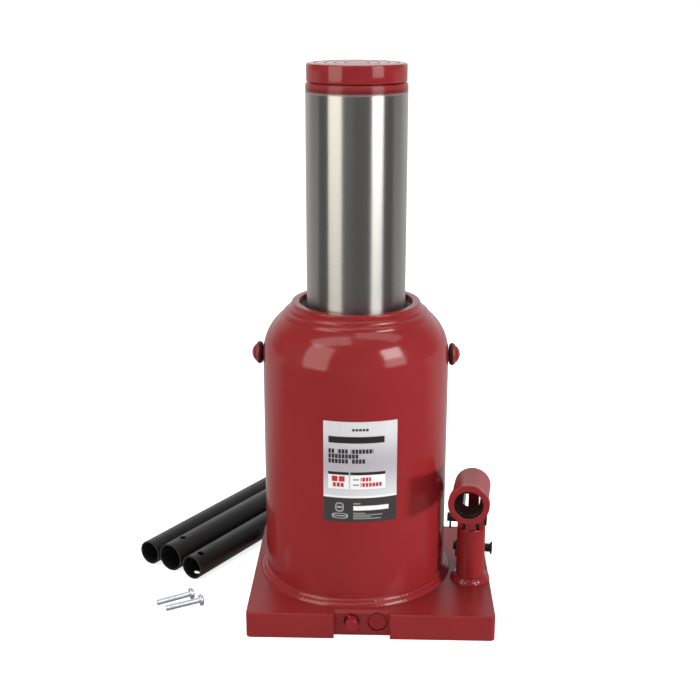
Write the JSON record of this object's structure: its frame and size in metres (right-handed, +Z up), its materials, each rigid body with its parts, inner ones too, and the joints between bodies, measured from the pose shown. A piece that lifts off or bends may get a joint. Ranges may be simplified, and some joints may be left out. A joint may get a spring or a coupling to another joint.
{
  "type": "bottle jack",
  "caption": "Hydraulic bottle jack: domed cylindrical reservoir on a flat base, thick lifting ram with grooved saddle, side plunger pump with handle socket, sectional pump handle.",
  "frame": {"origin": "centre of the ram's axis on the base plate's underside", "axes": "+Z up along the ram, +X to the right seen from the release valve, +Y to the back"},
  "size_m": [0.3172, 0.353, 0.4493],
  "materials": {
    "red_paint": "glossy sprayed enamel",
    "ground_steel": "ground and polished",
    "machined_steel": "machined, oily",
    "black_finish": "satin black",
    "zinc_plate": "bright zinc plate",
    "black_rubber": "matte",
    "guide_plastic": "matte",
    "copper_alloy": "dull",
    "label_foil": "brushed foil, printed"
  },
  "bodies": {
    "jack_body": {"base_plate": "red_paint", "delivery_bore_plug": "red_paint", "reservoir_shell": "red_paint", "reservoir_foot_weld": "red_paint", "shoulder_weld": "red_paint", "pump_foot_weld": "red_paint", "cylinder_tube": "red_paint", "cylinder_gasket": "copper_alloy", "gland_nut": "machined_steel", "ram_wiper": "black_rubber", "gland_o_ring": "black_rubber", "pump_cylinder": "red_paint", "plunger_packing": "black_rubber", "pump_seat_washer": "copper_alloy", "fulcrum_lug_left": "red_paint", "fulcrum_lug_right": "red_paint", "fulcrum_pin": "black_finish", "fulcrum_pin_cotter": "black_finish", "release_ball": "machined_steel", "overload_plug": "red_paint", "overload_follower": "machined_steel", "overload_spring": "machined_steel", "overload_ball": "machined_steel", "oil_strainer": "copper_alloy", "bail_stud_left": "red_paint", "bail_stud_right": "red_paint", "label_plate": "label_foil"},
    "ram_assembly": {"ram": "ground_steel", "piston_guide_band": "guide_plastic", "piston_cup_seal": "black_rubber", "cup_retainer": "machined_steel", "cup_retainer_screw": "machined_steel", "saddle": "red_paint"},
    "release_valve": {"release_screw": "red_paint", "release_cross_pin": "red_paint", "release_o_ring": "black_rubber"},
    "bail": {"bail_handle": "black_finish"},
    "oil_plug": {"filler_plug": "black_rubber"},
    "pump_plunger": {"plunger": "machined_steel", "plunger_cup_seal": "black_rubber"},
    "lever_link": {"fulcrum_link": "red_paint"},
    "pump_lever": {"socket_tube": "red_paint", "socket_collar": "red_paint", "socket_ear_left": "red_paint", "socket_ear_right": "red_paint", "plunger_pin": "black_finish", "plunger_pin_cotter": "black_finish", "link_pin": "black_finish", "link_pin_cotter": "black_finish"},
    "suction_check": {"suction_ball": "machined_steel"},
    "delivery_check": {"delivery_ball": "machined_steel"},
    "handle_rear": {"handle_section_rear": "black_finish"},
    "handle_middle": {"handle_section_middle": "black_finish"},
    "handle_front": {"handle_section_front": "black_finish"},
    "loose_screws": {"handle_screws": "zinc_plate"}
  },
  "joints": [
    {"name": "ram_lift", "type": "slide", "parent": "jack_body", "child": "ram_assembly", "axis": [0, 0, 1], "range_m": [-0.17, 0]},
    {"name": "release_turn", "type": "hinge", "parent": "jack_body", "child": "release_valve", "pos_m": [-0.0007, -0.0916, 0.0128], "axis": [0, -1, 0], "range_deg": [0, 360]},
    {"name": "bail_swing", "type": "hinge", "parent": "jack_body", "child": "bail", "pos_m": [0, 0, 0.2135], "axis": [1, 0, 0], "range_deg": [0, 80]},
    {"name": "oil_plug_pull", "type": "slide", "parent": "jack_body", "child": "oil_plug", "axis": [0, 1, 0], "range_m": [0, 0.02]},
    {"name": "link_swing", "type": "hinge", "parent": "jack_body", "child": "lever_link", "pos_m": [0.10228, 0.00076, 0.0381], "axis": [-0.9907, 0.1357, 0], "range_deg": [0, 2.5]},
    {"name": "lever_pump", "type": "hinge", "parent": "lever_link", "child": "pump_lever", "pos_m": [0.10228, 0.00076, 0.0913], "axis": [-0.9907, 0.1357, 0], "range_deg": [0, 48]},
    {"name": "plunger_stroke", "type": "slide", "parent": "jack_body", "child": "pump_plunger", "axis": [0, 0, 1], "range_m": [0, 0.0252]},
    {"name": "suction_check_lift", "type": "slide", "parent": "jack_body", "child": "suction_check", "axis": [0, 0, 1], "range_m": [0, 0.0012]},
    {"name": "delivery_check_lift", "type": "slide", "parent": "jack_body", "child": "delivery_check", "axis": [0, 0, 1], "range_m": [0, 0.0012]},
    {"name": "handle_rear_lift", "type": "slide", "parent": "jack_body", "child": "handle_rear", "axis": [0, 0, 1], "range_m": [0, 0.15]},
    {"name": "handle_middle_lift", "type": "slide", "parent": "jack_body", "child": "handle_middle", "axis": [0, 0, 1], "range_m": [0, 0.15]},
    {"name": "handle_front_lift", "type": "slide", "parent": "jack_body", "child": "handle_front", "axis": [0, 0, 1], "range_m": [0, 0.15]},
    {"name": "screws_lift", "type": "slide", "parent": "jack_body", "child": "loose_screws", "axis": [0, 0, 1], "range_m": [0, 0.15]}
  ],
  "couplings": [
    {"joint": "link_swing", "follows": "lever_pump", "ratio": 0.05},
    {"joint": "plunger_stroke", "follows": "lever_pump", "m_per_rad": 0.02996}
  ]
}
